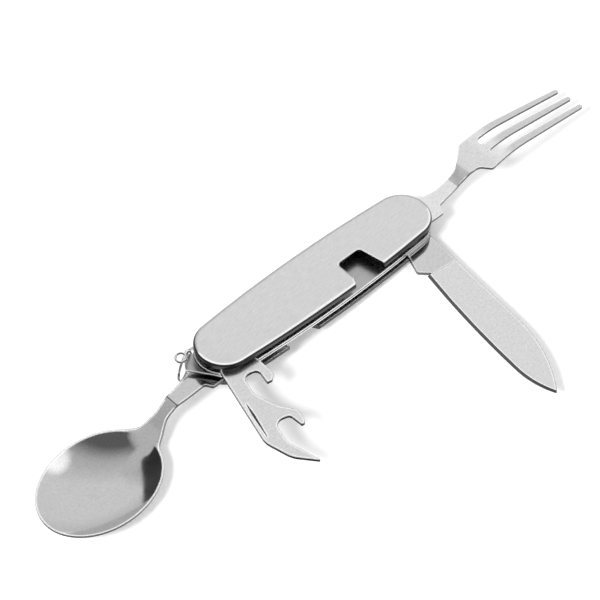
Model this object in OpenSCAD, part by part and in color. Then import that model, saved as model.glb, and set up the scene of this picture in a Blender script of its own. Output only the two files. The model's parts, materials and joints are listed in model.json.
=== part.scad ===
// Folding picnic cutlery: a two-part handle that holds a fork, a spoon, a knife and a bottle opener.
// +X is the fork end, -X the spoon end, -Y the open side that the tools fold into, +Z the top cover.
// The origin is the middle of the bottom cover's outer face.

/* [Handle] */
// Length of the handle
handle_l = 105; // [98:0.5:118]
// Width of the handle at the middle
handle_w = 23.8; // [22.6:0.1:27]
// Radius of the rounded ends
end_r = 10.3; // [9.4:0.1:10.8]
// Thickness of the stamped covers
cover_t = 0.8; // [0.5:0.05:0.8]
// Depth of a cover from its outer face to the edge of its rim
rim_h = 2; // [1.7:0.05:3]
// Radius of the bend between a cover's face and its rim
bend_r = 1; // [0.85:0.05:1.4]
// Thickness of the liners
liner_t = 0.6; // [0.4:0.05:1]
// Step of a liner's edge inside the cover's outline
liner_step = 0.2; // [0:0.05:0.6]
// Space between the two halves of the handle
half_gap = 0.6; // [0.55:0.05:1.5]
// Distance from the end of the handle to the end of a cover's tall spine wall
spine_end = 10; // [9.7:0.1:16]

/* [Pivots] */
// Distance from the end of the handle to its pivot
pivot_in = 10.3; // [9.5:0.1:12]
// Distance from the long axis to the pivots, towards the open side
pivot_off = 3.5; // [2.6:0.1:4]
// Diameter of a pivot pin
pin_d = 3; // [2:0.1:3.6]
// Radial play of a tool or washer on its pin
pin_play = 0.05; // [0.02:0.01:0.1]
// Diameter of a pin's riveted head
pin_head_d = 4.6; // [4:0.1:6]
// Height of a pin's riveted head
pin_head_h = 0.25; // [0.1:0.05:0.25]
// Diameter of the pivot washers
washer_d = 7; // [5:0.1:7.4]
// Play between a tool and its neighbours in the stack
layer_play = 0.13; // [0.05:0.01:0.2]

/* [Notch in each cover] */
// Depth of the notch past the pivot line
notch_back = 2.7; // [2.4:0.1:4]
// Radius of the notch's inner corners
notch_corner_r = 1.6; // [0.5:0.1:2]
// Slant of the notch's near side, across the rim
notch_slant = 2.2; // [0:0.1:3]
// Flare of the notch's far side at the rim
notch_flare = 1.7; // [0:0.1:2.5]
// Free space between the notch and the near side of a neck
notch_free_in = 3.5; // [3:0.1:6]
// Free space between the notch and the far side of a neck
notch_free_out = 1.4; // [1:0.1:3]

/* [Fork and spoon sheet] */
// Thickness of the fork and spoon sheet
tang_t = 1; // [0.7:0.05:1.2]
// Radius of the tangs' round ends
tang_r = 4; // [3:0.1:4.4]
// Distance from the pivot to the start of a neck's bend
neck_at = 25.6; // [24:0.1:28]
// Length of a neck's bend along the tool
neck_run = 5.4; // [5:0.1:7]
// Bend radius of the necks
neck_r = 1.2; // [1:0.1:3]
// Space between the handle's face and a neck at the end of its bend
neck_gap = 0.3; // [0.2:0.05:1]

/* [Fork] */
// Reach of the tines from the pivot
fork_reach = 84.6; // [76:0.1:92]
// Width of the fork across the tines' roots
fork_w = 16; // [14.4:0.1:19]
// Width of the fork across the tines' tips
fork_tip_w = 12.4; // [11:0.1:16]
// Width of a tine's tip
tine_tip_w = 1.7; // [1.3:0.1:2.2]
// Width of a slot at its root
slot_w = 3.5; // [2.4:0.1:3.8]
// Distance from the pivot to the slots' roots
slot_at = 41.7; // [41:0.1:50]
// Distance from the pivot to the widest part of the shoulders
shoulder_at = 37.2; // [36.8:0.1:39]
// Lean of the fork's head
fork_lean = -1.9; // [-4:0.1:0]
// Offset of the fork's head from the pivot
fork_off = 5.4; // [4.6:0.1:6]
// Distance from the pivot to the top of the arch
arch_at = 47; // [44:0.1:56]
// Height of the arch's peak corner over the handle's face
arch_h = 5; // [4:0.05:7]
// Height of the tines' tips over the handle's face
tip_h = 0.9; // [0.9:0.05:2]
// Radius of the arch
arch_r = 40; // [20:1:50]

/* [Spoon] */
// Length of the spoon's bowl
bowl_l = 48.4; // [42:0.1:56]
// Width of the spoon's bowl
bowl_w = 36.1; // [32:0.1:42]
// Depth of the bowl inside
bowl_depth = 6.2; // [5:0.1:8]
// Thickness of the bowl's sheet
bowl_t = 1; // [0.7:0.05:1.4]
// Width of the bowl's rim, seen from above
rim_w = 0.5; // [0.4:0.05:1]
// Distance from the pivot to the bowl's near end
bowl_at = 38.2; // [37.6:0.1:39.4]
// Height of the bowl's rim over the handle's face
bowl_h = 2.7; // [2:0.05:4]
// Lean of the spoon's bowl
spoon_lean = -6.2; // [-7:0.1:-4]
// Offset of the spoon's bowl from the pivot
bowl_off = 2; // [1.4:0.1:2.6]

/* [Knife] */
// Thickness of the knife and the opener
blade_t = 1.1; // [0.8:0.05:1.5]
// Space between the folded knife's tip and the spoon's pivot, along the handle
tip_gap = 0.9; // [0.5:0.1:6]
// Space between the folded cutting edge and the studs' heads
edge_gap = 0.25; // [0.2:0.05:2]
// Distance from the pivot line to the back of the knife
knife_back = 5.6; // [5:0.1:6]
// Radius of the knife's back towards its tip
back_r = 54; // [48:1:70]
// Radius of the cutting edge towards the tip
belly_r = 31; // [26:1:34]
// Radius of the long cutting edge
edge_r = 361; // [300:1:600]
// Width of the ground bevel
bevel_w = 1; // [0.8:0.1:3]
// Thickness left at the cutting edge
edge_t = 0.2; // [0.1:0.02:0.4]
// Depth of the grind on each flat side of the blade
grind = 0.08; // [0.05:0.01:0.15]
// Distance from the pivot to the start of the ground edge
edge_at = 18.9; // [17:0.1:21]
// Opening angle of the knife at rest
knife_open = 84.3; // [0:0.1:180]

/* [Bottle opener] */
// Reach of the opener from its pivot
opener_reach = 51.8; // [50:0.1:56]
// Distance from the pivot line to the back of the opener
opener_back = 6.6; // [5.6:0.1:6.8]
// Distance from the pivot to the near hook's notch
near_hook_at = 9.9; // [9.5:0.1:10.3]
// Distance from the pivot to the far hook's notch
far_hook_at = 31.4; // [31:0.1:32.4]
// Reach of the opener's hooks from the pivot line
hook_reach = 9.3; // [9.1:0.1:9.5]
// Depth of the nail nick
nick_depth = 0.35; // [0.2:0.05:0.5]
// Width of the nail nick
nick_w = 0.8; // [0.6:0.1:1.2]
// Length of the nail nick
nick_l = 14.9; // [10:0.1:16]
// Opening angle of the opener at rest
opener_open = 106.1; // [0:0.1:180]

/* [Studs and keyholes] */
// Place of the rear stud along the handle
rear_stud_x = -26; // [-28:0.5:-20]
// Place of the front stud along the handle
front_stud_x = 14; // [8:0.5:20]
// Diameter of a stud's shank
stud_d = 2; // [1.4:0.1:2.4]
// Diameter of a stud's head
stud_head_d = 4; // [3.2:0.1:4.2]
// Height of a stud's head
stud_head_h = 0.8; // [0.5:0.05:0.9]
// Diameter of a stud's riveted end
rivet_d = 3.2; // [2.8:0.1:4]
// Height of a stud's riveted end
rivet_h = 0.4; // [0.2:0.05:0.6]
// Space between a stud's head and the spine wall
stud_gap = 0.9; // [0.75:0.05:1.2]
// Sliding play of a stud in its keyhole
keyhole_play = 0.15; // [0.1:0.01:0.3]
// Travel of the halves from locked to free
slide_l = 7; // [5:0.5:8]

/* [Lanyard ring] */
// Diameter of the ring's wire
wire_d = 0.9; // [0.6:0.05:1.1]
// Radius of the ring, to the middle of its wire
ring_r = 5.2; // [4.8:0.1:7]
// Radius of the ring's curled end, to the middle of its wire
curl_r = 1.75; // [1.4:0.05:2]
// Free space between the ring and the handle's end
ring_gap = 0.3; // [0.25:0.05:1]
// Angle of the ring to the handle's long axis
ring_turn = 25; // [20:1:35]
// Height of the tab over the middle of the hanging ring
ring_drop = 1.9; // [1.5:0.05:3.4]
// Radial play of the wire in its hole
hole_play = 0.6; // [0.5:0.05:1]
// Width of the metal round the hole
hole_wall = 0.6; // [0.6:0.1:1.4]
// Reach of the tab's corner past the handle's end
tab_reach = 4.4; // [2.5:0.1:5]

/* [Hidden] */
$fn = 96;

// A small overlap for cuts that pass a face
eps = 0.5;
// Angle of one step along a rounded corner
arc_step = 6;
// Steps along a round end, a bowed side and a cover's bend
end_steps = 32;
side_steps = 8;
bend_steps = 4;

steel = [0.78, 0.79, 0.80];
dark_steel = [0.62, 0.63, 0.65];
blade_steel = [0.70, 0.72, 0.74];

half_l = handle_l / 2;
half_w = handle_w / 2;
// Middle of each round end
end_x = half_l - end_r;
// Radius of the bowed sides, which run into the round ends without a corner
side_r = (end_x * end_x + half_w * half_w - end_r * end_r) / (2 * (half_w - end_r));
side_y = side_r - half_w;
// Angle that each half of a bowed side turns through
side_turn = atan2(end_x, side_y);

pivot_x = half_l - pivot_in;
// Heights of the layers of one half, over its cover's outer face
tang_z = rim_h + layer_play;
blade_z = tang_z + tang_t + layer_play;
liner_z = blade_z + blade_t + layer_play;
half_h = liner_z + liner_t;
total_h = 2 * half_h + half_gap;

stud_y = half_w - cover_t - stud_head_d / 2 - stud_gap;
notch_in = neck_at - notch_free_in;
notch_out = neck_at + neck_run + notch_free_out;

// Height of a neck's middle at the end of its bend, over the outer face
neck_up = neck_gap + tang_t / 2;
// Drop from the inside of the bowl's rim to its outside
rim_drop = 0.7 * bowl_t;

function xy(p) = [p[0], p[1]];
function unit(v) = v / norm(v);
function turned(a) = a > 180 ? a - 360 : a < -180 ? a + 360 : a;
function arc(c, r, a0, a1) =
    let (n = max(2, ceil(abs(a1 - a0) / arc_step)))
    [for (i = [0:n]) c + r * [cos(a0 + (a1 - a0) * i / n), sin(a0 + (a1 - a0) * i / n)]];

// The points that round corner b, between a and c, by radius r
function corner(a, b, c, r) =
    let (
        u = unit(a - b),
        w = unit(c - b),
        half = acos(u * w) / 2,
        m = b + unit(u + w) * r / sin(half),
        p = b + u * r / tan(half) - m,
        q = b + w * r / tan(half) - m,
        a0 = atan2(p[1], p[0]),
        turn = turned(atan2(q[1], q[0]) - a0)
    )
    arc(m, r, a0, a0 + turn);

// A closed outline from corners [x, y, radius]
function rounded(p) =
    let (n = len(p))
    [for (i = [0:n - 1])
        each p[i][2] == 0
            ? [xy(p[i])]
            : corner(xy(p[(i + n - 1) % n]), xy(p[i]), xy(p[(i + 1) % n]), p[i][2])];

// An open line from corners [x, y, radius], with its two ends as they are
function bent(p) =
    let (n = len(p) - 1)
    [for (i = [0:n])
        each i == 0 || i == n || p[i][2] == 0
            ? [xy(p[i])]
            : corner(xy(p[i - 1]), xy(p[i]), xy(p[i + 1]), p[i][2])];

// The outline of a sheet of thickness t that follows the line p
function sheet(p, t) =
    let (
        n = len(p) - 1,
        side = [for (i = [0:n])
            let (d = unit(p[min(n, i + 1)] - p[max(0, i - 1)]))
            [-d[1], d[0]] * t / 2]
    )
    concat([for (i = [0:n]) p[i] + side[i]], [for (i = [n:-1:0]) p[i] - side[i]]);

// Places on top what is built as part of the bottom half
module on_top() {
    translate([0, 0, total_h])
        rotate([0, 180, 0])
            children();
}

// Points along an arc in equal steps, without its ends when inside is true
function steps(c, r, a0, a1, n, inside) =
    [for (i = inside ? [1:n - 1] : [0:n])
        c + r * [cos(a0 + (a1 - a0) * i / n), sin(a0 + (a1 - a0) * i / n)]];

// Outline of the handle, moved in by inset: two round ends and two bowed sides that run into them
function handle_points(inset = 0) =
    let (
        r = end_r - inset,
        side = side_r - inset,
        a = 90 - side_turn
    )
    concat(
        steps([end_x, 0], r, -a, a, end_steps, false),
        steps([0, -side_y], side, a, 180 - a, side_steps, true),
        steps([-end_x, 0], r, 180 - a, 180 + a, end_steps, false),
        steps([0, side_y], side, 180 + a, 360 - a, side_steps, true)
    );

// A closed skin through rings of n points each, listed from the bottom face to the inside
module skin(rings) {
    n = len(rings[0]);
    last = len(rings) - 1;
    polyhedron(
        [for (ring = rings) each ring],
        concat(
            [[for (i = [0:n - 1]) i]],
            [for (j = [0:last - 1], i = [0:n - 1])
                [j * n + i, (j + 1) * n + i, (j + 1) * n + (i + 1) % n, j * n + (i + 1) % n]],
            [[for (i = [n - 1:-1:0]) last * n + i]]
        )
    );
}

// The stamped pan of a cover: face, round bend and rim, all of one thickness
module pan() {
    inner_r = bend_r - cover_t;
    section = concat(
        [for (i = [0:bend_steps])
            let (a = 90 * i / bend_steps)
            bend_r * [1 - sin(a), 1 - cos(a)]],
        [[0, rim_h], [cover_t, rim_h]],
        [for (i = [bend_steps:-1:0])
            let (a = 90 * i / bend_steps)
            [bend_r - inner_r * sin(a), bend_r - inner_r * cos(a)]]
    );
    skin([for (s = section) [for (p = handle_points(s[0])) [p[0], p[1], s[1]]]]);
}

// Places a sheet tool, built along +X from its pivot, as it lies open in the bottom half
module at_sheet_pivot() {
    translate([-pivot_x, -pivot_off, 0])
        mirror([1, 0, 0])
            children();
}

// Places a blade, built along +X from its pivot, in the bottom half, opened by an angle
module at_blade_pivot(open) {
    translate([pivot_x, -pivot_off, 0])
        rotate([0, 0, open])
            mirror([1, 0, 0])
                children();
}

// The notch that lets a folded neck out, seen from the neck's own pivot
module notch_outline() {
    far = half_w - pivot_off;
    polygon(rounded([
        [notch_in, notch_back, notch_corner_r],
        [notch_out, notch_back, notch_corner_r],
        [notch_out, 3 - far, 1.5],
        [notch_out + notch_flare, -far, 1.5],
        [notch_out + notch_flare, -handle_w, 0],
        [notch_in - notch_slant, -handle_w, 0],
        [notch_in - notch_slant, -far, 3]
    ]));
}

// One cover, as it lies at the bottom of its half
module cover() {
    difference() {
        union() {
            pan();
            translate([0, 0, bend_r])
                linear_extrude(liner_z - bend_r)
                    intersection() {
                        difference() {
                            polygon(handle_points());
                            polygon(handle_points(cover_t));
                        }
                        translate([spine_end - half_l, 0])
                            square([2 * (half_l - spine_end), handle_w]);
                    }
        }
        translate([-pivot_x, -pivot_off, -eps])
            linear_extrude(half_h)
                notch_outline();
    }
}

// The bores of a half's two pins through its liner
module liner_bores() {
    for (s = [-1, 1])
        translate([s * pivot_x, -pivot_off])
            circle(pin_d / 2 + pin_play);
}

// A pivot pin of the bottom half, from the cover to its riveted head on the liner
module pin(x) {
    translate([x, -pivot_off, cover_t]) {
        cylinder(half_h - cover_t, d = pin_d);
        translate([0, 0, half_h - cover_t])
            cylinder(pin_head_h, d = pin_head_d);
    }
}

// A washer on a pin of the bottom half, between heights z0 and z1
module washer(x, z0, z1) {
    translate([x, -pivot_off, z0])
        linear_extrude(z1 - z0)
            difference() {
                circle(d = washer_d);
                circle(pin_d / 2 + pin_play);
            }
}

// The bore of a tool on its pin
module bore() {
    translate([0, 0, -eps])
        cylinder(half_h, r = pin_d / 2 + pin_play);
}

// A flat outline bent to follow a line seen from the side, over a width
module bent_sheet(line, t, width) {
    intersection() {
        translate([0, 0, -half_w - bowl_h])
            linear_extrude(2 * half_w + half_h)
                children();
        translate([0, width / 2, 0])
            rotate([90, 0, 0])
                linear_extrude(width)
                    polygon(sheet(bent(line), t));
    }
}

// A point of the fork's head, along and across its leaning middle line, with a corner radius
function on_fork(s, w, r = 0) = [
    s * cos(fork_lean) - w * sin(fork_lean),
    fork_off + s * sin(fork_lean) + w * cos(fork_lean),
    r
];

module fork_outline() {
    tip = fork_tip_w / 2;
    root = fork_w / 2;
    tine = (fork_w - 2 * slot_w) / 3;
    // Round ends, with a short flat left between their corners
    slot_r = slot_w / 2 - 0.05;
    tip_r = tine_tip_w / 2 - 0.05;
    polygon(rounded([
        [0, -tang_r, 0],
        [13.2, -tang_r, 0.8],
        [14.6, -0.5, 1.2],
        [neck_at + 0.9, 1.5, 8],
        [shoulder_at - 2.4, 0.4, 3],
        on_fork(shoulder_at + 0.6, -root, 1.3),
        on_fork(fork_reach + 0.6, -tip, tip_r),
        on_fork(fork_reach + 0.6, tine_tip_w - tip, tip_r),
        on_fork(slot_at, tine - root, slot_r),
        on_fork(slot_at, -tine / 2, slot_r),
        on_fork(fork_reach, -tine_tip_w / 2, tip_r),
        on_fork(fork_reach, tine_tip_w / 2, tip_r),
        on_fork(slot_at, tine / 2, slot_r),
        on_fork(slot_at, root - tine, slot_r),
        on_fork(fork_reach - 1, tip - tine_tip_w, tip_r),
        on_fork(fork_reach - 1, tip, tip_r),
        on_fork(shoulder_at - 0.8, root, 1.6),
        [neck_at + 4, 6.5, 6],
        [neck_at - 7.6, 5.4, 4],
        [9, 6.6, 3],
        [0, tang_r, 0]
    ]));
    circle(tang_r);
}

// The fork, along +X from its pivot: flat in its layer, then bent out past the cover's face.
// The line of its bends runs on past the tips
module fork_shape() {
    line = [
        [-tang_r - eps, tang_z + tang_t / 2, 0],
        [neck_at, tang_z + tang_t / 2, neck_r],
        [neck_at + neck_run, -neck_up, neck_r],
        [arch_at, -arch_h, arch_r],
        [fork_reach + 2, -tip_h + 0.3, 0]
    ];
    difference() {
        bent_sheet(line, tang_t, 3 * fork_w)
            fork_outline();
        bore();
    }
}

bowl_mid = bowl_at + bowl_l / 2;

// The point at angle a and share k of the way out to the bowl's outline, moved in by inset
function bowl_point(a, k, inset = 0) =
    k * [(bowl_l / 2 - inset) * cos(a), (bowl_w / 2 - inset) * sin(a)];

// Depth of the bowl at share k of the way out from its middle
function bowl_dip(k) = bowl_depth * (1 - k * k);

// The bowl, hollow towards the handle: two nested skins joined at the rim
module bowl() {
    turns = 72;
    rings = [0.14, 0.28, 0.42, 0.56, 0.7, 0.84, 1];
    n = len(rings);
    inner = [for (k = rings, i = [0:turns - 1])
        let (p = bowl_point(360 * i / turns, k, rim_w))
        [p[0], p[1], -bowl_dip(k)]];
    outer = [for (k = rings, i = [0:turns - 1])
        let (p = bowl_point(360 * i / turns, k))
        [p[0], p[1], k == 1 ? -rim_drop : -bowl_dip(k) - bowl_t]];
    points = concat(inner, outer, [[0, 0, -bowl_depth], [0, 0, -bowl_depth - bowl_t]]);
    base = n * turns;
    top = 2 * base;
    faces = concat(
        [for (i = [0:turns - 1]) [top, (i + 1) % turns, i]],
        [for (j = [0:n - 2], i = [0:turns - 1])
            let (a = j * turns + i, b = j * turns + (i + 1) % turns)
            [a, b, b + turns, a + turns]],
        [for (i = [0:turns - 1])
            let (a = (n - 1) * turns + i, b = (n - 1) * turns + (i + 1) % turns)
            [a, b, b + base, a + base]],
        [for (j = [0:n - 2], i = [0:turns - 1])
            let (a = base + j * turns + i, b = base + j * turns + (i + 1) % turns)
            [b, a, a + turns, b + turns]],
        [for (i = [0:turns - 1]) [top + 1, base + i, base + (i + 1) % turns]]
    );
    polyhedron(points, faces);
}

module spoon_outline() {
    difference() {
        union() {
            polygon(rounded([
                [0, -tang_r, 0],
                [11.4, -tang_r, 0.8],
                [12.9, -1.3, 1.2],
                [neck_at - 4.6, -1.6, 6],
                [neck_at + 4.7, -1.6, 6],
                [bowl_at - 0.4, -6.4, 5],
                [bowl_at + 5.4, -15, 0],
                [bowl_at + 8, 4, 0],
                [bowl_at + 4.8, 6.9, 0],
                [bowl_at + 0.6, 3.9, 5],
                [neck_at + 5.9, 2.8, 10],
                [neck_at - 4.6, 4.4, 6],
                [12.5, 6.6, 3],
                [6, 5.6, 3],
                [0, tang_r, 0]
            ]));
            circle(tang_r);
        }
        rotate(spoon_lean)
            translate([bowl_mid, bowl_off])
                polygon([for (i = [0:71]) bowl_point(5 * i, 1, rim_w / 2)]);
    }
}

// The spoon, along +X from its pivot: flat in its layer, then down in one slope to the bowl's rim
module spoon_shape() {
    rim_z = -bowl_h - rim_drop;
    line = [
        [-tang_r - eps, tang_z + tang_t / 2, 0],
        [neck_at, tang_z + tang_t / 2, neck_r],
        [bowl_at - 2, rim_z, 4],
        [bowl_at + 10, rim_z, 0]
    ];
    difference() {
        bent_sheet(line, tang_t, 2 * bowl_w)
            spoon_outline();
        bore();
    }
    rotate([0, 0, spoon_lean])
        translate([bowl_mid, bowl_off, -bowl_h])
            bowl();
}

knife_reach = 2 * pivot_x - tip_gap;
knife_belly = stud_y - stud_head_d / 2 - edge_gap + pivot_off;
// Distances from the tip to where the back starts to curve and to the deepest place of the long edge
back_turn = 31.5;
edge_turn = 21.5;
// Slope of the long edge where the belly's arc takes over
belly_from = 1;
// Middles of the arcs of the knife's back, its long edge and its belly, and where the belly starts
back_c = [knife_reach - back_turn, back_r - knife_back];
edge_c = [knife_reach - edge_turn, knife_belly - edge_r];
belly_c = edge_c + (edge_r - belly_r) * [sin(belly_from), cos(belly_from)];
belly_at = edge_c[0] + edge_r * sin(belly_from);

function arc_height(c, r, x) = c[1] + sqrt(r * r - (x - c[0]) * (x - c[0]));
function knife_edge_y(x) =
    x < belly_at ? arc_height(edge_c, edge_r, x) : arc_height(belly_c, belly_r, x);
function knife_back_y(x) =
    x < back_c[0] ? -knife_back : 2 * back_c[1] - arc_height(back_c, back_r, x);

// The blade between its shoulder and its tip: flat sides, ground to a thin edge
module ground_blade() {
    count = 30;
    mid = blade_t / 2;
    skin([for (i = [0:count])
        let (
            x = edge_at + (knife_reach - edge_at) * sin(90 * i / count),
            back = knife_back_y(x),
            edge = knife_edge_y(x),
            bevel = max(back + 0.1, edge - bevel_w)
        )
        [
            [x, back, grind], [x, bevel, grind], [x, edge, mid - edge_t / 2],
            [x, edge, mid + edge_t / 2], [x, bevel, blade_t - grind], [x, back, blade_t - grind]
        ]]);
}

// The blunt part of the blade, with its kick, round its pivot
module knife_tang_outline() {
    polygon(rounded([
        [edge_at + 0.4, -knife_back, 0],
        [edge_at + 0.4, 4.6, 0],
        [edge_at - 0.5, 5.7, 0.3],
        [edge_at - 3.1, 9, 1.2],
        [7.6, 6.7, 2.5],
        [3, 2.9, 0],
        [1, -2, 0],
        [5, -knife_back, 2]
    ]));
    circle(tang_r + 0.3);
}

module knife_shape() {
    difference() {
        translate([0, 0, blade_z]) {
            ground_blade();
            linear_extrude(blade_t)
                knife_tang_outline();
        }
        bore();
    }
}

module opener_outline() {
    polygon(rounded([
        [4.4, -opener_back, 2],
        [opener_reach - 14, -opener_back, 8],
        [opener_reach - 4.9, -1.4, 9],
        [opener_reach + 0.6, 6.75, 0.2],
        [opener_reach - 10.9, 0.05, 4],
        [far_hook_at, 0, 3.4],
        [far_hook_at, 5.9, 1.6],
        [far_hook_at + 5.2, 7.7, 0.5],
        [far_hook_at + 4.9, hook_reach + 0.05, 1.2],
        [far_hook_at - 1.1, hook_reach + 0.05, 3.5],
        [far_hook_at - 5, 4.2, 6],
        [near_hook_at + 8.9, -0.6, 8],
        [near_hook_at, -0.75, 2.9],
        [near_hook_at, 5.2, 1.8],
        [near_hook_at + 6.1, 5.5, 0.4],
        [near_hook_at + 5.9, 7.6, 1.4],
        [near_hook_at + 3.6, hook_reach - 0.15, 2],
        [5, 7.1, 2.5],
        [1, 1, 0]
    ]));
    circle(tang_r + 0.3);
}

// The nail nick's outline: a sliver that runs out to a point at each end
module nick_outline() {
    hull() {
        translate([nick_w / 8, 0])
            circle(d = nick_w / 4);
        translate([0.35 * nick_l, 0])
            circle(d = nick_w);
        translate([nick_l - nick_w / 8, 0])
            circle(d = nick_w / 4);
    }
}

module opener_shape() {
    // Middle of the nail nick
    nick_at = opener_reach - 23.2;
    difference() {
        translate([0, 0, blade_z])
            linear_extrude(blade_t)
                opener_outline();
        translate([nick_at - nick_l / 2, -opener_back + 1.7, blade_z - eps])
            linear_extrude(nick_depth + eps)
                nick_outline();
        bore();
    }
}

// Direction of the ring, seen from above, and how far its middle stands off from the tab
ring_dir = [cos(ring_turn), sin(ring_turn)];
ring_reach = sqrt(ring_r * ring_r - ring_drop * ring_drop);
// Angle round the handle's end at which the hanging ring passes closest to it
ring_side = 134;
// Middle of the ring's hole in the tab, which keeps the hanging ring clear of the handle's end
ring_hole = [-end_x, 0]
    + (end_r + ring_gap + wire_d / 2) * [cos(ring_side), sin(ring_side)]
    - (ring_r - ring_reach) * ring_dir;

// Angles round the end at which the tab leaves the liner's outline
tab_from = 121;
tab_to = 208;
// Round of the tab beyond the ring's hole, and distance of its corner from the long axis
tab_r = 2.2;
tab_side = 3.1;

// Outline of the bottom liner, with the tab that carries the ring at the spoon's end
function lower_liner_points() =
    let (
        r = end_r - liner_step,
        side = side_r - liner_step,
        a = 90 - side_turn,
        wall = wire_d / 2 + hole_play + hole_wall,
        middle = [-end_x, 0],
        p = middle + r * [cos(tab_from), sin(tab_from)],
        q = middle + r * [cos(tab_to), sin(tab_to)],
        tab = bent([
            [p[0], p[1], 0],
            [ring_hole[0] + wall, ring_hole[1] + wall - 0.4, 1],
            [ring_hole[0] - 1.6, ring_hole[1] + wall, tab_r],
            [-half_l - tab_reach, tab_side, 1],
            [q[0], q[1], 0]
        ])
    )
    concat(
        steps([end_x, 0], r, -a, a, end_steps, false),
        steps([0, -side_y], side, a, 180 - a, side_steps, true),
        steps(middle, r, 180 - a, tab_from, 6, false),
        [for (i = [1:len(tab) - 2]) tab[i]],
        steps(middle, r, tab_to, 180 + a, 12, false),
        steps([0, side_y], side, 180 + a, 360 - a, side_steps, true)
    );

module keyhole(x) {
    w = stud_d + 2 * keyhole_play;
    translate([x, stud_y]) {
        circle(d = w);
        translate([0, -w / 2])
            square([slide_l, w]);
        translate([slide_l, 0])
            circle(d = stud_head_d + 2 * keyhole_play);
    }
}

module stud(x) {
    liner_top = total_h - half_h;
    translate([x, stud_y, 0]) {
        translate([0, 0, liner_z - layer_play - stud_head_h])
            cylinder(stud_head_h, d = stud_head_d);
        translate([0, 0, liner_z - layer_play])
            cylinder(liner_top + liner_t - liner_z + layer_play, d = stud_d);
        translate([0, 0, liner_top + liner_t])
            cylinder(rivet_h, d = rivet_d);
    }
}

module bottom_cover() {
    color(steel)
        cover();
}

module top_cover() {
    color(steel)
        on_top()
            cover();
}

module lower_liner() {
    color(dark_steel)
        translate([0, 0, liner_z])
            linear_extrude(liner_t)
                difference() {
                    polygon(lower_liner_points());
                    liner_bores();
                    translate(ring_hole)
                        circle(wire_d / 2 + hole_play);
                    keyhole(rear_stud_x);
                    keyhole(front_stud_x);
                }
}

module upper_liner() {
    color(dark_steel)
        translate([0, 0, half_h + half_gap])
            linear_extrude(liner_t)
                difference() {
                    polygon(handle_points(liner_step));
                    liner_bores();
                    for (x = [rear_stud_x, front_stud_x])
                        translate([x, stud_y])
                            circle(d = stud_d);
                }
}

module fork() {
    color(steel)
        on_top()
            at_sheet_pivot()
                fork_shape();
}

module spoon() {
    color(steel)
        at_sheet_pivot()
            spoon_shape();
}

module knife_blade() {
    color(blade_steel)
        at_blade_pivot(knife_open)
            knife_shape();
}

module bottle_opener() {
    color(blade_steel)
        on_top()
            at_blade_pivot(opener_open)
                opener_shape();
}

module spoon_pin() {
    color(dark_steel)
        pin(-pivot_x);
}

module knife_pin() {
    color(dark_steel)
        pin(pivot_x);
}

module fork_pin() {
    color(dark_steel)
        on_top()
            pin(-pivot_x);
}

module opener_pin() {
    color(dark_steel)
        on_top()
            pin(pivot_x);
}

module spoon_outer_washer() {
    color(dark_steel)
        washer(-pivot_x, cover_t, rim_h);
}

module spoon_inner_washer() {
    color(dark_steel)
        washer(-pivot_x, blade_z, liner_z);
}

module knife_washer() {
    color(dark_steel)
        washer(pivot_x, cover_t, blade_z - layer_play);
}

module fork_outer_washer() {
    color(dark_steel)
        on_top()
            washer(-pivot_x, cover_t, rim_h);
}

module fork_inner_washer() {
    color(dark_steel)
        on_top()
            washer(-pivot_x, blade_z, liner_z);
}

module opener_washer() {
    color(dark_steel)
        on_top()
            washer(pivot_x, cover_t, blade_z - layer_play);
}

module rear_stud() {
    color(dark_steel)
        stud(rear_stud_x);
}

module front_stud() {
    color(dark_steel)
        stud(front_stud_x);
}

// Place of the wire's curled end: its angle round the ring, and its step off to the side
curl_turn = -101;
curl_side = 1;

// The ring hangs from the tab, with the curled end of its wire beside it
module lanyard_ring() {
    tab_mid = liner_z + liner_t / 2;
    color(steel)
        translate([ring_hole[0], ring_hole[1], tab_mid - ring_drop])
            rotate([0, 0, ring_turn])
                translate([-ring_reach, 0, 0]) {
                    rotate([90, 0, 0])
                        ring_of_wire(ring_r);
                    rotate([0, curl_turn, 0])
                        translate([ring_r, curl_side, 0])
                            rotate([0, 90, 0])
                                ring_of_wire(curl_r);
                }
}

module ring_of_wire(r) {
    rotate_extrude()
        translate([r, 0])
            circle(d = wire_d, $fn = 32);
}

bottom_cover();
lower_liner();
spoon();
spoon_pin();
spoon_outer_washer();
spoon_inner_washer();
knife_blade();
knife_pin();
knife_washer();
lanyard_ring();
top_cover();
upper_liner();
fork();
fork_pin();
fork_outer_washer();
fork_inner_washer();
bottle_opener();
opener_pin();
opener_washer();
front_stud();
rear_stud();
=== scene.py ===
"""Folding picnic cutlery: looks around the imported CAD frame. Metres, in the frame's own axes."""
import json
import math

import bmesh
import bpy
from mathutils import Matrix, Vector


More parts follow.
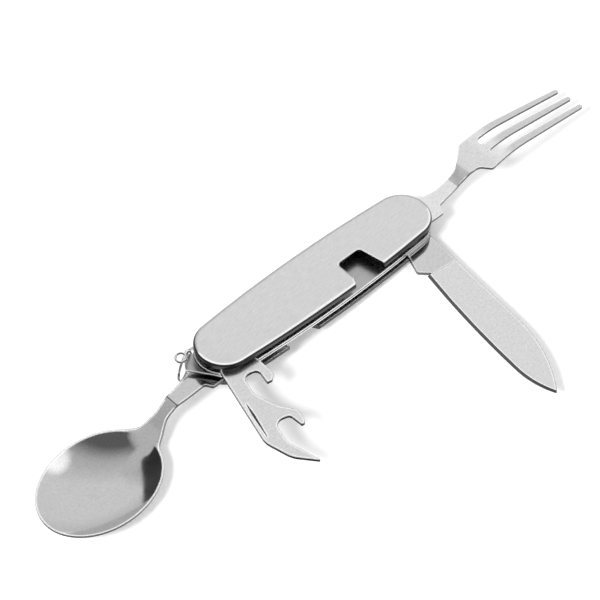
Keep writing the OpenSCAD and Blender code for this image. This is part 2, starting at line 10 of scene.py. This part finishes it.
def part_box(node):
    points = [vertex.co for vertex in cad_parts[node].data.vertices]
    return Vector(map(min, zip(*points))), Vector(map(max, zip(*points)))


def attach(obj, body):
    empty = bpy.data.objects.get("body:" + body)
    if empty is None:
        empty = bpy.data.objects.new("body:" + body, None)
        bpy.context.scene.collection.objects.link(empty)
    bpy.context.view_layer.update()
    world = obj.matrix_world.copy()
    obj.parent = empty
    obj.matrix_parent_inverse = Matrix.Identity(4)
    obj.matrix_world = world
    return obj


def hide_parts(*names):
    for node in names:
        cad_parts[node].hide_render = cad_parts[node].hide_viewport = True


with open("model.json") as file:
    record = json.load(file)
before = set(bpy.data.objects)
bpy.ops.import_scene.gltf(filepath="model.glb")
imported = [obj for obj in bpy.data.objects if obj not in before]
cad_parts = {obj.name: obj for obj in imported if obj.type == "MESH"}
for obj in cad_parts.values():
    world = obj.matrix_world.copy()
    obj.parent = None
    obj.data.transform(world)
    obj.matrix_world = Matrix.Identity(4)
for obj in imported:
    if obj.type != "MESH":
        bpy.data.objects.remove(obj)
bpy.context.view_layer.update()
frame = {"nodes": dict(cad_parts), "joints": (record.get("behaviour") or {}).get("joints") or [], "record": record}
scene = bpy.context.scene
scene.view_settings.view_transform = "Standard"

MM = 0.001
BODY = {name: body for body, names in frame["record"]["behaviour"]["bodies"].items() for name in names}
JOINT = {joint["name"]: joint for joint in frame["joints"]}
PIVOT = {name: Vector(joint["pos_m"]) for name, joint in JOINT.items() if "pos_m" in joint}


def link(obj):
    scene.collection.objects.link(obj)
    return obj


def pointing(azimuth, elevation):
    """The unit vector towards a place in the sky; angles in degrees."""
    az, el = math.radians(azimuth), math.radians(elevation)
    return Vector((math.cos(el) * math.cos(az), math.cos(el) * math.sin(az), math.sin(el)))


# ---------------------------------------------------------------- camera
# Fitted to the outlines in the photo: its place, the way it looks in degrees, and its lens in millimetres
CAMERA_PLACE = (-0.45028, -0.42498, 0.7342)
CAMERA_AZIMUTH, CAMERA_DOWN, CAMERA_ROLL = 43.776, 49.922, 3.23
SENSOR_WIDTH, FOCAL_LENGTH = 36, 168


def look(azimuth, down, roll):
    """A camera's axes as a matrix, from the way it looks; angles in degrees."""
    turn = math.radians(roll)
    forward = pointing(azimuth, -down)
    level = pointing(azimuth - 90, 0)
    up = level.cross(forward)
    right = math.cos(turn) * level + math.sin(turn) * up
    return Matrix((right, right.cross(forward), -forward)).transposed().to_4x4()


lens = bpy.data.cameras.new("camera")
lens.sensor_width = SENSOR_WIDTH
lens.lens = FOCAL_LENGTH
lens.clip_start = 0.01
lens.clip_end = 50
camera = link(bpy.data.objects.new("camera", lens))
camera.matrix_world = Matrix.Translation(CAMERA_PLACE) @ look(CAMERA_AZIMUTH, CAMERA_DOWN, CAMERA_ROLL)
scene.camera = camera


# ---------------------------------------------------------------- node helpers
class Nodes:
    """Adds and links the nodes of one tree."""

    def __init__(self, tree):
        self.tree = tree
        tree.nodes.clear()

    def add(self, kind, inputs=None, **settings):
        node = self.tree.nodes.new(kind)
        for name, value in settings.items():
            setattr(node, name, value)
        for name, value in (inputs or {}).items():
            socket = node.inputs[name]
            if isinstance(value, bpy.types.NodeSocket):
                self.tree.links.new(value, socket)
            else:
                socket.default_value = value
        return node

    def math(self, operation, a, b=0.0, clamp=False):
        return self.add("ShaderNodeMath", {0: a, 1: b}, operation=operation, use_clamp=clamp).outputs[0]

    def map(self, value, low, high, at_low, at_high):
        """The value, taken from one range to another and held level outside it."""
        return self.add("ShaderNodeMapRange", {
            "Value": value, "From Min": low, "From Max": high, "To Min": at_low, "To Max": at_high,
        }).outputs[0]

    def shaded(self, value, mask, share):
        """The value, times a share where the mask is 1."""
        return self.math("MULTIPLY", value, self.map(mask, 0.0, 1.0, 1.0, share))

    def split(self, vector):
        return self.add("ShaderNodeSeparateXYZ", {0: vector}).outputs

    def dot(self, a, b):
        return self.add("ShaderNodeVectorMath", {0: a, 1: b}, operation="DOT_PRODUCT").outputs["Value"]

    def noise(self, vector, scale, detail, roughness=0.5):
        return self.add("ShaderNodeTexNoise", {
            "Vector": vector, "Scale": scale, "Detail": detail, "Roughness": roughness,
        }).outputs[0]


# ---------------------------------------------------------------- materials
# Clouds and specks in the steel: features per metre, and how far they change the roughness and the relief
CLOUD_SCALE, SPECK_SCALE = 160.0, 1300.0
CLOUD_ROUGHNESS, SPECK_RELIEF = 0.16, 0.3
# Near an edge the rounded normal leaves the face's own: cosines between which the painted dark hairline and the
# painted highlight band fade
HAIRLINE_FADE, BAND_FADE = (0.86, 0.93), (0.9985, 0.9998)
# Shares of the tone for painted shade: on the hairline, on edge bands that lean away from the light, and in sunk
# places
HAIRLINE_SHADE_TONE, SHADED_TONE, SUNK_SHADE_TONE = 0.35, 0.62, 0.08
# The painted highlight band along the edges is pale and less metallic, so it scatters light like a rough surface
EDGE_HIGHLIGHT_TONE, EDGE_HIGHLIGHT_METAL = 0.96, 0.25
# Distances from a bend between which the painted highlight band comes back, and between which the bend's painted
# dark line fades
BEND_CLEAR, BEND_SHADE_LINE = (0.0008, 0.0012), (0.00012, 0.00025)
# How far under the sunk height the painted shade is reached, and how far an edge has to lean to get the painted
# highlight, with painted shade the other way
SUNK_FADE, LEAN_FADE = 0.0001, 0.03


def drawn_grain(n, place, size, turn):
    """A noise drawn out along one direction, as brushing leaves it."""
    turned = n.add("ShaderNodeMapping", {"Vector": place, "Rotation": (0, 0, math.radians(turn))}).outputs[0]
    along, across = size
    scale = (1 / along, 1 / across, 1 / across)
    stretched = n.add("ShaderNodeMapping", {"Vector": turned, "Scale": scale}).outputs[0]
    return n.noise(stretched, scale=1.0, detail=3.0, roughness=0.6)


def edge_bands(n, rim, top):
    """The rounded normal near a flat face's edges, and masks for the painted dark hairline and the painted
    highlight band inside it.
    """
    rounded = n.add("ShaderNodeBevel", {"Radius": rim}, samples=6).outputs[0]
    plain = n.add("ShaderNodeNewGeometry").outputs["Normal"]
    near = n.dot(rounded, plain)
    hairline = n.math("MULTIPLY", top, n.map(near, *HAIRLINE_FADE, 1.0, 0.0))
    inside = n.math("SUBTRACT", top, hairline)
    return rounded, hairline, n.math("MULTIPLY", inside, n.map(near, *BAND_FADE, 1.0, 0.0), True)


def zone_mask(n, place, zone):
    """1 short of the zone's limit, measured from its start along its direction, and 0 past it."""
    (x, y), (dx, dy) = zone["start"], zone["direction"]
    border = x * dx + y * dy + zone["limit"]
    return n.map(n.dot(place, (dx, dy, 0)), border, border - zone["softness"], 0.0, 1.0)


def steel(name, level, roughness, grain, size, bump, turn=0, mottle=0.04, edge=0.1, steep=(0.2, 0.6),
          rim=0.0009, lit=None, zone=None, sunk=None, bends=()):
    """Steel sheet or wire with a brushed grain.

    level is its tone, grain and mottle are how far the noises change it, and bump is the relief's height.
    size is the grain's size along and across, and turn its angle in degrees.
    edge is the share of the tone on the sheared edges, which face sideways: painted shade where it is below 1 and
    a painted highlight where it is above 1. steep gives the upward parts of the normal between which an edge turns
    into a flat face.
    rim is the width of the painted highlight band along the edges of the flat faces, with a painted dark hairline
    outside it.
    With lit, only edges that lean that way get the painted highlight band, and the others get painted shade.
    zone is a part of the surface with shares of its own of the roughness and the tone.
    sunk is a height under which faces are darkened with painted shade.
    bends are bends across x, where the edges get no painted highlight band and a line has its own share of the
    tone: a painted dark line where the share is below 1.
    """
    material = bpy.data.materials.new(name)
    material.use_nodes = True
    n = Nodes(material.node_tree)
    coords = n.add("ShaderNodeTexCoord").outputs
    place = coords["Object"]
    x, _, z = n.split(place)

    fine = drawn_grain(n, place, size, turn)
    cloud = n.noise(place, CLOUD_SCALE, detail=3.0, roughness=0.55)
    speck = n.noise(place, SPECK_SCALE, detail=1.0)
    swings = [n.math("MULTIPLY", n.math("SUBTRACT", noise, 0.5), share)
              for noise, share in ((fine, grain), (cloud, mottle), (speck, mottle * 2))]
    tone = n.math("ADD", n.math("ADD", swings[0], swings[1]), n.math("ADD", swings[2], level), True)
    rough = n.math("MULTIPLY", n.math("SUBTRACT", cloud, 0.5), CLOUD_ROUGHNESS)
    rough = n.math("ADD", rough, roughness, True)

    top = n.map(n.math("ABSOLUTE", n.split(coords["Normal"])[2]), *steep, 0.0, 1.0)
    # Painted light along the flat faces' edges: a hairline of painted shade outside, and a band of painted
    # highlight inside
    rounded, hairline, edge_highlight = edge_bands(n, rim, top)
    # The painted highlight stays on edges that lean towards lit, and the rest get painted shade
    if lit:
        side = n.map(n.dot(rounded, lit), -LEAN_FADE, LEAN_FADE, 0.0, 1.0)
        away = n.math("MULTIPLY", edge_highlight, n.math("SUBTRACT", 1.0, side))
        edge_highlight = n.math("MULTIPLY", edge_highlight, side)
        tone = n.shaded(tone, away, SHADED_TONE)
    # At a bend the painted highlight band is left off, and a share below 1 paints a dark line of shade in the
    # crease
    for bend_x, share in bends:
        distance = n.math("ABSOLUTE", n.math("SUBTRACT", x, bend_x))
        edge_highlight = n.math("MULTIPLY", edge_highlight, n.map(distance, *BEND_CLEAR, 0.0, 1.0))
        tone = n.math("MULTIPLY", tone, n.map(distance, *BEND_SHADE_LINE, share, 1.0))
    # Painted light on the faces that face sideways: shade where edge is below 1, and a highlight where it is above
    # 1
    tone = n.math("MULTIPLY", tone, n.map(top, 0.0, 1.0, edge, 1.0))
    tone = n.shaded(tone, hairline, HAIRLINE_SHADE_TONE)
    tone = n.math("MAXIMUM", tone, n.math("MULTIPLY", edge_highlight, EDGE_HIGHLIGHT_TONE))
    # Painted shade on the faces under the sunk height
    if sunk:
        tone = n.math("MULTIPLY", tone, n.map(z, sunk - SUNK_FADE, sunk, SUNK_SHADE_TONE, 1.0))
    if zone:
        mask = zone_mask(n, place, zone)
        rough = n.shaded(rough, mask, zone["rough_share"])
        tone = n.shaded(tone, mask, zone["tone_share"])

    colour = n.add("ShaderNodeCombineColor", {0: tone, 1: tone, 2: tone}).outputs[0]
    relief = n.math("ADD", fine, n.math("MULTIPLY", speck, SPECK_RELIEF))
    surface = n.add("ShaderNodeBsdfPrincipled", {
        "Base Color": colour,
        "Metallic": n.map(edge_highlight, 0.0, 1.0, 1.0, EDGE_HIGHLIGHT_METAL),
        "Roughness": rough,
        "Normal": n.add("ShaderNodeBump", {"Height": relief, "Strength": 1.0, "Distance": bump}).outputs[0],
    })
    n.add("ShaderNodeOutputMaterial", {"Surface": surface.outputs[0]})
    return material


# Bends of the spoon's and the fork's necks and the root of the tines, from their pivots, in millimetres
SPOON_CREASE, FORK_BENDS, TINES_FROM = 25.5, (25.4, 30.8), 44.8
# Only the floor of the nick in the opener lies this far under its upper face, and it gets painted shade
OPENER_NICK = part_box("bottle_opener")[1][2] - 0.00012


def from_pivot(joint, distance):
    """The x of a place that lies outwards from a joint's pivot, by millimetres."""
    x = PIVOT[joint].x
    return x + math.copysign(distance * MM, x)


# The knife's tang, which is smoother and darker than its ground blade
TANG_ZONE = {
    "start": PIVOT["knife_fold"].xy, "direction": pointing(180 - JOINT["knife_fold"]["range_deg"][0], 0).xy,
    "limit": 0.0189, "softness": 0.0002, "rough_share": 0.35, "tone_share": 0.86,
}
# The fork's tines, which get painted shade that makes them darker than its root
TINES_SHADE_ZONE = {
    "start": (from_pivot("fork_fold", TINES_FROM), 0), "direction": (-1, 0),
    "limit": 0, "softness": 0.004, "rough_share": 1.0, "tone_share": 0.8,
}
# The covers: painted highlight on edges leaning towards -y, and painted shade on the other edges and on their
# sideways faces
brushed = steel(
    "brushed_cover_steel", level=0.78, roughness=0.32, grain=0.34, size=(0.0034, 0.00036), bump=1e-5,
    turn=-8, edge=0.08, steep=(0.8, 0.92), rim=0.001, lit=(-0.3, -1.0, 0.0))
# The fork: painted shade on its sideways faces and on its tines
sheet_steel = steel(
    "satin_sheet_steel", level=0.88, roughness=0.20, grain=0.22, size=(0.0016, 0.0006), bump=3e-6,
    mottle=0.06, rim=0.0005, zone=TINES_SHADE_ZONE,
    bends=[(from_pivot("fork_fold", distance), 1.0) for distance in FORK_BENDS])
# The spoon: a painted dark line of shade along the crease of its neck
bowl_steel = steel(
    "polished_spoon_steel", level=0.64, roughness=0.10, grain=0.16, size=(0.0012, 0.0006), bump=1e-6,
    mottle=0.05, bends=[(from_pivot("spoon_fold", SPOON_CREASE), 0.12)])
# The blade: painted shade on its cutting bevel and its sideways faces
blade_steel = steel(
    "ground_blade_steel", level=0.80, roughness=0.24, grain=0.26, size=(0.0012, 0.0006), bump=4e-6,
    mottle=0.05, edge=0.2, steep=(0.96, 0.985), zone=TANG_ZONE)
# The opener: painted shade on the floor of its nick
opener_steel = steel(
    "satin_opener_steel", level=0.78, roughness=0.24, grain=0.24, size=(0.0014, 0.0006), bump=4e-6,
    mottle=0.06, sunk=OPENER_NICK)
# The wire: painted shade on the parts that face sideways
wire_steel = steel(
    "spring_wire_steel", level=0.80, roughness=0.14, grain=0.06, size=(0.002, 0.0006), bump=1e-6,
    edge=0.3, rim=0.00005)
# The liners: a low tone that paints the shade in the gaps between the covers, and a painted highlight on their
# sideways edges
inner_steel = steel(
    "inner_sheet_steel", level=0.50, roughness=0.28, grain=0.16, size=(0.004, 0.0005), bump=3e-6,
    edge=1.7, rim=0.0004)


# ---------------------------------------------------------------- pieces
# The angle past which an edge is sharp, and how wide the thicker and the thinner sheets' edges are rounded
SHARP = math.radians(30)
SHEET_EDGE, LINER_EDGE = 0.12 * MM, 0.1 * MM


def stand_for(piece, node, material):
    """Lets a piece stand for a CAD node, on that node's body and in its material slot."""
    piece.data.materials.clear()
    piece.data.materials.append(material)
    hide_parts(node)
    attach(piece, BODY[node])


def round_edges(piece, width, angle):
    """Gives a piece's edges that are sharper than an angle a bevel of three steps."""
    bevel = piece.modifiers.new("edges", "BEVEL")
    bevel.width = width
    bevel.segments = 3
    bevel.limit_method = "ANGLE"
    bevel.angle_limit = angle
    return bevel


def refined(node, material, width):
    """A copy of a CAD solid with softened edges, which stands for it."""
    bm = bmesh.new()
    bm.from_mesh(frame["nodes"][node].data)
    bmesh.ops.remove_doubles(bm, verts=bm.verts, dist=1e-6)
    bmesh.ops.dissolve_limit(bm, angle_limit=math.radians(0.4), verts=bm.verts, edges=bm.edges)
    mesh = bpy.data.meshes.new(node + "_piece")
    bm.to_mesh(mesh)
    bm.free()
    for polygon in mesh.polygons:
        polygon.use_smooth = True
    mesh.set_sharp_from_angle(angle=SHARP)
    piece = link(bpy.data.objects.new(node + "_piece", mesh))
    if width:
        round_edges(piece, width, SHARP).harden_normals = True
    stand_for(piece, node, material)


# ---------------------------------------------------------------- spoon
# As in the CAD, in millimetres from the spoon's pivot: u runs out along the neck and v across it
BOWL_AT, BOWL_L, BOWL_W, BOWL_DEPTH, BOWL_H = 38.2, 48.4, 36.1, 6.2, 2.7
BOWL_LEAN, BOWL_OFF = math.radians(-6.2), 2.0
BOWL_MID = BOWL_AT + BOWL_L / 2
SHEET_T, TANG_R, RIM_W = 1.0, 4.0, 0.5
TANG_TOP = 2.13 + SHEET_T
# How far the bowl's outline lies outside the hollow's edge
LIP_W = 0.35
# The neck runs into the bowl between these stations, in a strip about its middle line
RUN_FROM, RUN_TO, RUN_MID, RUN_W = 34.5, 44.0, -0.7, 6.5
CREASE_DEPTH, CREASE_W = 0.06, 0.22


def corner(a, b, c, radius, count=8):
    """The points that round corner b, between a and c."""
    u = (a - b).normalized()
    w = (c - b).normalized()
    half = math.acos(max(-1.0, min(1.0, u.dot(w)))) / 2
    middle = b + (u + w).normalized() * radius / math.sin(half)
    start = b + u * radius / math.tan(half) - middle
    end = b + w * radius / math.tan(half) - middle
    a0 = math.atan2(start.y, start.x)
    turn = (math.atan2(end.y, end.x) - a0 + math.pi) % (2 * math.pi) - math.pi
    return [middle + radius * Vector((math.cos(a0 + turn * i / count), math.sin(a0 + turn * i / count)))
            for i in range(count + 1)]


def rounded_line(corners, closed):
    """A line or an outline from corners (x, y, radius)."""
    n = len(corners)
    out = []
    for i, (x, y, radius) in enumerate(corners):
        here = Vector((x, y))
        if radius == 0 or (not closed and i in (0, n - 1)):
            out.append(here)
        else:
            out += corner(Vector(corners[i - 1][:2]), here, Vector(corners[(i + 1) % n][:2]), radius)
    return out


def bowl_edge_point(degrees):
    """A point of the bowl's outline, an ellipse that leans."""
    a = math.radians(degrees)
    s = BOWL_MID + (BOWL_L / 2 - RIM_W + LIP_W) * math.cos(a)
    w = BOWL_OFF + (BOWL_W / 2 - RIM_W + LIP_W) * math.sin(a)
    return Vector((s * math.cos(BOWL_LEAN) - w * math.sin(BOWL_LEAN),
                   s * math.sin(BOWL_LEAN) + w * math.cos(BOWL_LEAN)))


neck_top = rounded_line([
    (-TANG_R - 1, TANG_TOP, 0), (25.6, TANG_TOP, 1.0), (BOWL_AT - 2, -BOWL_H, 4), (90, -BOWL_H, 0),
], False)
neck_outline = rounded_line([
    (0, -TANG_R, 0), (11.4, -TANG_R, 0.8), (12.9, -1.3, 1.2), (21, -1.6, 6), (30.3, -1.6, 6),
    (BOWL_AT - 0.4, -6.4, 5), (BOWL_AT + 5.4, -15, 0), (BOWL_AT + 8, 4, 0), (BOWL_AT + 4.8, 6.9, 0),
    (BOWL_AT + 0.6, 3.9, 5), (31.5, 2.8, 10), (21, 4.4, 6), (12.5, 6.6, 3), (6, 5.6, 3), (0, TANG_R, 0),
], True)
bowl_outline = [bowl_edge_point(degrees) for degrees in range(360)]
tang_outline = [TANG_R * pointing(degrees, 0).xy for degrees in range(0, 360, 4)]


def crossings(outline, u):
    """Where an outline crosses the line across at u."""
    found = []
    for p, q in zip(outline, outline[1:] + outline[:1]):
        if (p.x - u) * (q.x - u) <= 0 and p.x != q.x:
            found.append(p.y + (q.y - p.y) * (u - p.x) / (q.x - p.x))
    return found


def level_at(line, u):
    """The height of a line at u."""
    for p, q in zip(line, line[1:]):
        if p.x <= u <= q.x:
            return p.y + (q.y - p.y) * (u - p.x) / (q.x - p.x)
    return line[-1].y


def dish(u, v):
    """The hollow's height at a point, from the rim's plane down: 0 at its edge and outside it."""
    s = u * math.cos(BOWL_LEAN) + v * math.sin(BOWL_LEAN) - BOWL_MID
    w = -u * math.sin(BOWL_LEAN) + v * math.cos(BOWL_LEAN) - BOWL_OFF
    k = min(1.0, math.hypot(s / (BOWL_L / 2 - RIM_W), w / (BOWL_W / 2 - RIM_W)))
    return -BOWL_DEPTH * (1 - k * k)


def run_height(u, v):
    """The smooth run from the neck's slope into the bowl's wall, as a cubic with both slopes."""
    length = RUN_TO - RUN_FROM
    t = (u - RUN_FROM) / length
    start, end = level_at(neck_top, RUN_FROM), -BOWL_H + dish(RUN_TO, v)
    fall = length * (start - level_at(neck_top, RUN_FROM - 1))
    nudge = 0.1
    rise = length * (dish(RUN_TO + nudge, v) - dish(RUN_TO, v)) / nudge
    return ((2 * t ** 3 - 3 * t ** 2 + 1) * start + (t ** 3 - 2 * t ** 2 + t) * fall
            + (3 * t ** 2 - 2 * t ** 3) * end + (t ** 3 - t ** 2) * rise)


def spoon_height(u, v):
    """The sheet's upper face: the neck, which runs smoothly into the bowl, and the crease of its bend."""
    z = level_at(neck_top, u) + dish(u, v)
    if RUN_FROM < u < RUN_TO:
        z += (run_height(u, v) - z) * math.exp(-((v - RUN_MID) / RUN_W) ** 4)
    return z - CREASE_DEPTH * math.exp(-((u - SPOON_CREASE) / CREASE_W) ** 2)


def stations_along():
    """The stations of the spoon's mesh: closer at the crease and at the ends, whose very tips are cut."""
    tang_cut, tang_part, tang_count = 0.02, 6, 12
    bowl_cut, bowl_part, bowl_count = 0.03, 14, 34
    step, crease_step, crease_part = 0.5, 0.1, (24.8, 26.6)
    far_end = max(p.x for p in bowl_outline)
    stations = [-TANG_R + tang_cut + tang_part * (1 - math.cos(math.radians(90 * i / tang_count)))
                for i in range(tang_count)]
    u = stations[-1]
    while u < far_end - bowl_part:
        u += crease_step if crease_part[0] < u < crease_part[1] else step
        stations.append(u)
    rest = far_end - bowl_cut - u
    return stations + [u + rest * math.sin(math.radians(90 * i / bowl_count))
                       for i in range(1, bowl_count + 1)]


def places_across(low, high, columns):
    """The places across one station: a narrow column along each edge, and closer ones near it."""
    edge_column, crowding = 0.015, 0.6
    middle, reach = (low + high) / 2, (high - low) / 2 - edge_column
    inner = []
    for j in range(columns - 1):
        t = j / (columns - 2)
        inner.append(middle - reach * (crowding * math.cos(math.pi * t) + (1 - crowding) * (1 - 2 * t)))
    return [low] + inner + [high]


def spoon_piece():
    """The spoon as one smooth sheet: tang, bent neck and bowl."""
    columns = 96
    stations = stations_along()
    verts = []
    for u in stations:
        found = crossings(neck_outline, u) + crossings(bowl_outline, u) + crossings(tang_outline, u)
        for v in places_across(min(found), max(found), columns):
            verts.append((-u * MM, v * MM, spoon_height(u, v) * MM))
    faces = []
    for i in range(len(stations) - 1):
        for j in range(columns):
            a = i * (columns + 1) + j
            faces.append((a, a + 1, a + columns + 2, a + columns + 1))
    mesh = bpy.data.meshes.new("spoon_piece")
    mesh.from_pydata(verts, [], faces)
    pivot = PIVOT["spoon_fold"]
    mesh.transform(Matrix.Translation((pivot.x, pivot.y, 0)))
    for polygon in mesh.polygons:
        polygon.use_smooth = True
    piece = link(bpy.data.objects.new("spoon_piece", mesh))
    thick = piece.modifiers.new("thickness", "SOLIDIFY")
    thick.thickness = 0.9 * SHEET_T * MM
    thick.offset = -1
    thick.use_even_offset = False
    round_edges(piece, 0.005 * MM, math.radians(50)).use_clamp_overlap = False
    return piece


stand_for(spoon_piece(), "spoon", bowl_steel)

for node, material, width in (
    ("top_cover", brushed, SHEET_EDGE),
    ("bottom_cover", brushed, SHEET_EDGE),
    ("fork", sheet_steel, SHEET_EDGE),
    ("knife_blade", blade_steel, 0),
    ("bottle_opener", opener_steel, SHEET_EDGE),
    ("upper_liner", inner_steel, LINER_EDGE),
    ("lower_liner", inner_steel, LINER_EDGE),
    ("lanyard_ring", wire_steel, 0),
):
    refined(node, material, width)

# The pins, studs and washers are the CAD's own, with a better material
for node, obj in frame["nodes"].items():
    obj.data.materials.clear()
    obj.data.materials.append(wire_steel if "pin" in node or "stud" in node else inner_steel)


# ---------------------------------------------------------------- stage
FLOOR_REACH, FLOOR_TONE, FLOOR_GLOW = 3.0, 0.9, 0.15
# The tool lies on the handle's far end and on the bowl, so the floor slopes a little in the frame's axes
HANDLE_REST_X, BOWL_REST_X = 0.0515, -0.1035
SLOPE = -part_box("spoon")[0][2] / (HANDLE_REST_X - BOWL_REST_X)


def white_where_seen(n, surface, white):
    """Adds a glow that only camera, mirror and see-through rays meet."""
    path = n.add("ShaderNodeLightPath")
    seen = n.math("MAXIMUM", path.outputs["Is Camera Ray"], path.outputs["Is Glossy Ray"])
    seen = n.math("MAXIMUM", seen, path.outputs["Is Transmission Ray"])
    glow = n.add("ShaderNodeEmission", {"Color": (1, 1, 1, 1), "Strength": n.math("MULTIPLY", seen, white)})
    return n.add("ShaderNodeAddShader", {0: surface, 1: glow.outputs[0]}).outputs[0]


def floor_material():
    material = bpy.data.materials.new("floor")
    material.use_nodes = True
    n = Nodes(material.node_tree)
    paper = n.add("ShaderNodeBsdfDiffuse", {"Color": (FLOOR_TONE, FLOOR_TONE, FLOOR_TONE, 1)}).outputs[0]
    n.add("ShaderNodeOutputMaterial", {"Surface": white_where_seen(n, paper, FLOOR_GLOW)})
    return material


floor_corners = [(x * FLOOR_REACH, y * FLOOR_REACH, 0) for x, y in ((-1, -1), (1, -1), (1, 1), (-1, 1))]
floor_mesh = bpy.data.meshes.new("floor")
floor_mesh.from_pydata(floor_corners, [], [(0, 1, 2, 3)])
floor_mesh.materials.append(floor_material())
floor = link(bpy.data.objects.new("floor", floor_mesh))
floor.matrix_world = Matrix.Translation((HANDLE_REST_X, 0, 0)) @ Matrix.Rotation(-math.atan(SLOPE), 4, "Y")


# ---------------------------------------------------------------- light
class Sky(Nodes):
    """The nodes of the world, with masks for places in the sky; angles in degrees."""

    def __init__(self, tree):
        super().__init__(tree)
        self.direction = self.add("ShaderNodeTexCoord").outputs["Generated"]
        x, y, self.height = self.split(self.direction)
        self.azimuth = self.math("MULTIPLY", self.math("ARCTAN2", y, x), 180 / math.pi)

    def side_of(self, azimuth, elevation):
        """How far a direction lies towards a place, from -1 to 1."""
        return self.dot(self.direction, pointing(azimuth, elevation))

    def patch(self, azimuth, elevation, inner, outer):
        """1 inside a cone round a place and 0 outside it, with a soft edge."""
        low, high = (math.cos(math.radians(v)) for v in (outer, inner))
        return self.map(self.side_of(azimuth, elevation), low, high, 0.0, 1.0)

    def toward(self, level, goal, mask):
        """The level, changed to another where the mask is 1."""
        return self.math("ADD", level, self.math("MULTIPLY", mask, self.math("SUBTRACT", goal, level)))

    def darker(self, level, mask, share):
        """The level, less a share of it where the mask is 1."""
        return self.math("MULTIPLY", level, self.math("SUBTRACT", 1.0, self.math("MULTIPLY", mask, share)))

    def board(self):
        """A board with straight edges, in front of the left wall."""
        mask = self.map(self.side_of(-18.7, 23.24), -0.025, -0.055, 0.0, 1.0)
        for edge in (
            self.map(self.azimuth, 118, 114, 0.0, 1.0),
            self.map(self.height, 0.81, 0.78, 0.0, 1.0),
            self.map(self.azimuth, 50, 60, 0.0, 1.0),
        ):
            mask = self.math("MULTIPLY", mask, edge)
        return mask


# How bright the sky is where steel mirrors it, and where it only lights
SKY_LEVEL, FILL_LEVEL = 0.86, 0.75


def mirrored_room(sky):
    """What the steel mirrors: a pale studio with a few dark and light places."""
    # The dark room behind the camera and on its left: a slow fall of light, then a quick one
    room = sky.side_of(215, 0)
    level = sky.math("MULTIPLY", SKY_LEVEL, sky.map(room, -0.42, 0.0, 1.0, 0.66))
    level = sky.math("MULTIPLY", level, sky.map(room, 0.0, 0.19, 1.0, 0.25))
    # The dimmer wall on the left
    level = sky.darker(level, sky.patch(135, 30, 22, 45), 0.45)
    # A lighter window high on the left
    window = sky.math("MAXIMUM", sky.patch(112, 59, 9, 15), sky.patch(131, 54, 4, 9))
    level = sky.toward(level, 0.66, window)
    # A dark board in front of that wall
    level = sky.darker(level, sky.board(), 0.92)
    # The far horizon
    level = sky.math("MULTIPLY", level, sky.map(sky.height, 0.0, 0.35, 0.8, 1.0))
    # A soft box low on the right
    return sky.math("ADD", level, sky.math("MULTIPLY", sky.patch(318, 41, 6, 13), 0.75))


world = bpy.data.worlds.new("studio")
world.use_nodes = True
scene.world = world
sky = Sky(world.node_tree)
path = sky.add("ShaderNodeLightPath").outputs
mirrored = sky.math("MULTIPLY", path["Is Glossy Ray"], mirrored_room(sky))
fill = sky.math("MULTIPLY", path["Is Diffuse Ray"], FILL_LEVEL)
seen = sky.math("MAXIMUM", path["Is Camera Ray"], path["Is Transmission Ray"])
strength = sky.math("MAXIMUM", sky.math("MAXIMUM", mirrored, fill), seen)
background = sky.add("ShaderNodeBackground", {"Color": (1, 1, 1, 1), "Strength": strength})
sky.add("ShaderNodeOutputWorld", {"Surface": background.outputs[0]})

# A soft round lamp behind the camera and on its left, which throws the shadow and isn't mirrored
KEY_DISTANCE, KEY_WIDTH, KEY_WATTS = 1.2, 0.35, 12
key_place = KEY_DISTANCE * pointing(188, 42)
key_light = bpy.data.lights.new("key", "AREA")
key_light.shape = "DISK"
key_light.size = KEY_WIDTH
key_light.energy = KEY_WATTS
key = link(bpy.data.objects.new("key", key_light))
key.matrix_world = Matrix.Translation(key_place) @ key_place.to_track_quat("Z", "Y").to_matrix().to_4x4()
key.visible_glossy = False
